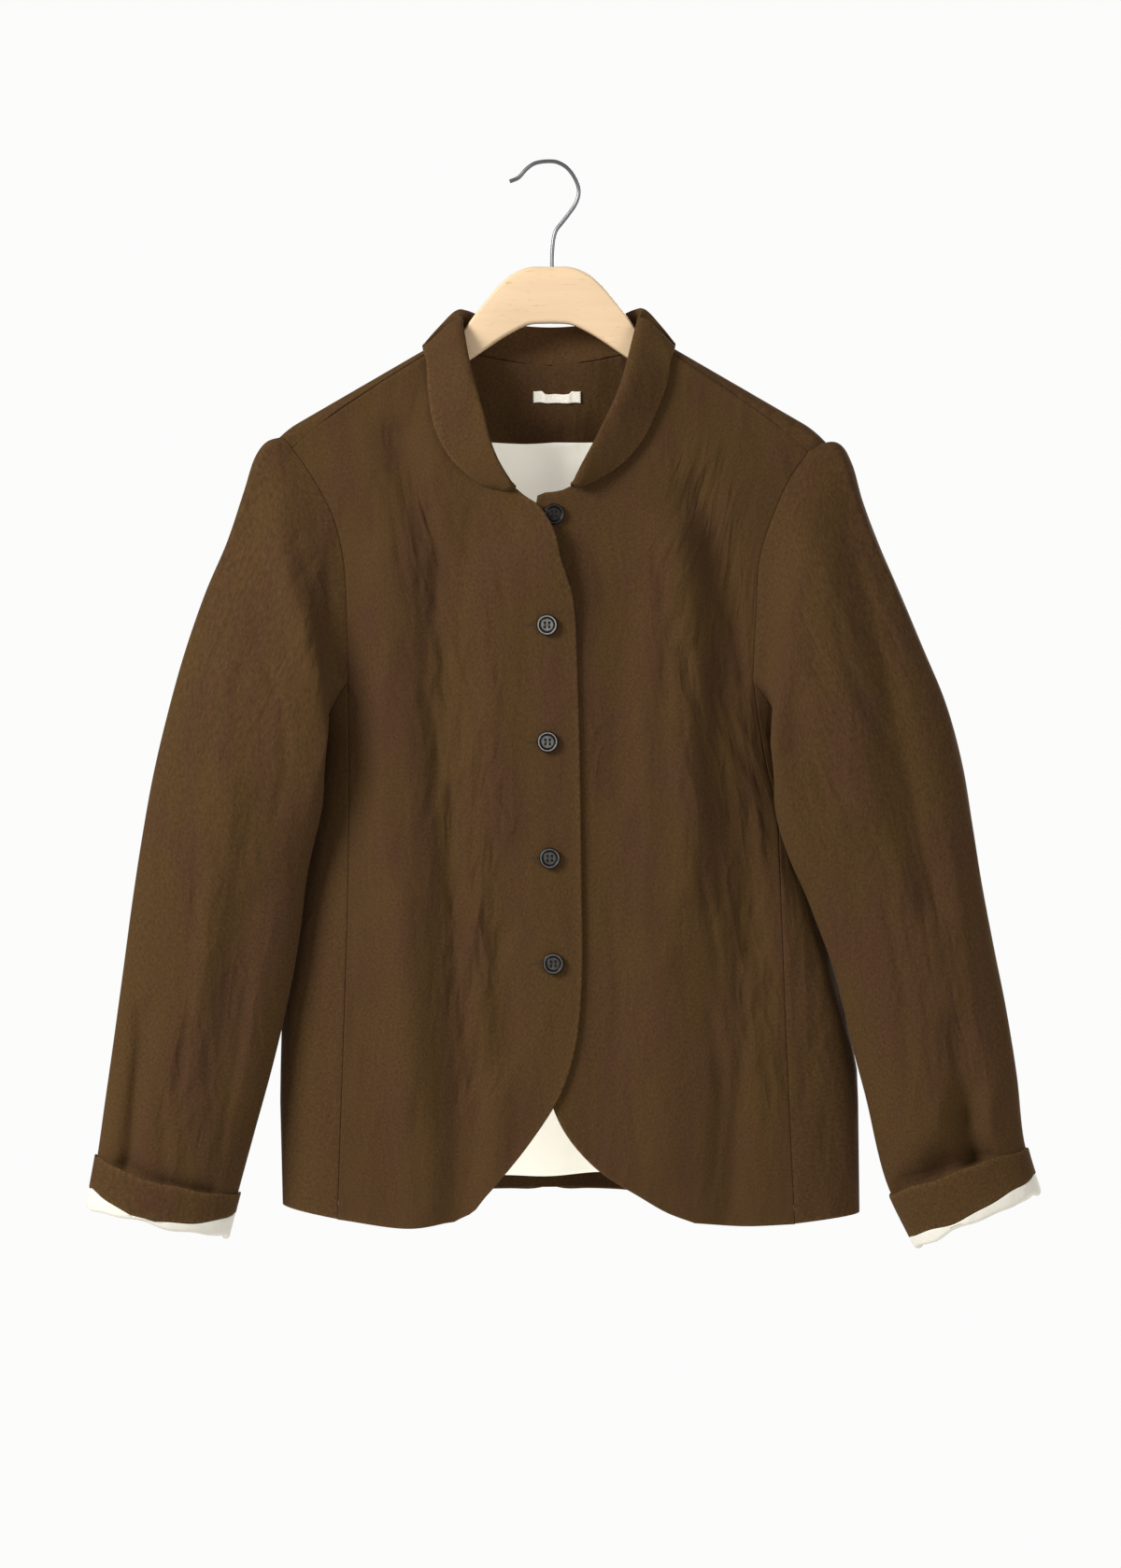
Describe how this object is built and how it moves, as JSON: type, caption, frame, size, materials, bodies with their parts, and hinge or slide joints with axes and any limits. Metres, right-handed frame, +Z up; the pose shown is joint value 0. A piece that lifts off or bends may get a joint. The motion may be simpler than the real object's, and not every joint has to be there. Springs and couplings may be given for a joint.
{
  "type": "military jacket on a clothes hanger",
  "caption": "Brown linen and wool jacket with a round collar, buttoned front, cutaway hem and turned-up cuffs, hanging on a flat wooden clothes hanger with a steel hook.",
  "frame": {"origin": "inner top of the hanger's hook, where it rests on a rail", "axes": "+Z up along the hook and the jacket, -Y towards the jacket's front, +X towards the wearer's left"},
  "size_m": [0.7143, 0.0972, 0.8173],
  "materials": {
    "shell": "washed wool and linen cloth, dark olive brown",
    "collar": "the same cloth, on the bias",
    "cream": "smooth cream lining cloth",
    "horn": "dark horn, half polished",
    "wood": "pale beech, satin",
    "steel": "plain steel wire"
  },
  "bodies": {
    "root": {"hanger_wood": "wood", "hanger_hook": "steel", "front_right": "shell", "front_left": "shell", "back": "shell", "side_panel_right": "shell", "side_panel_left": "shell", "sleeve_right": "shell", "sleeve_left": "shell", "collar": "collar", "cuff_right": "shell", "cuff_left": "shell", "cuff_lining_right": "cream", "cuff_lining_left": "cream", "back_neck_facing": "shell", "back_lining": "cream", "back_hem_facing": "shell", "neck_label": "cream", "button_1": "horn", "button_2": "horn", "button_3": "horn", "button_4": "horn", "button_5": "horn"}
  },
  "joints": []
}
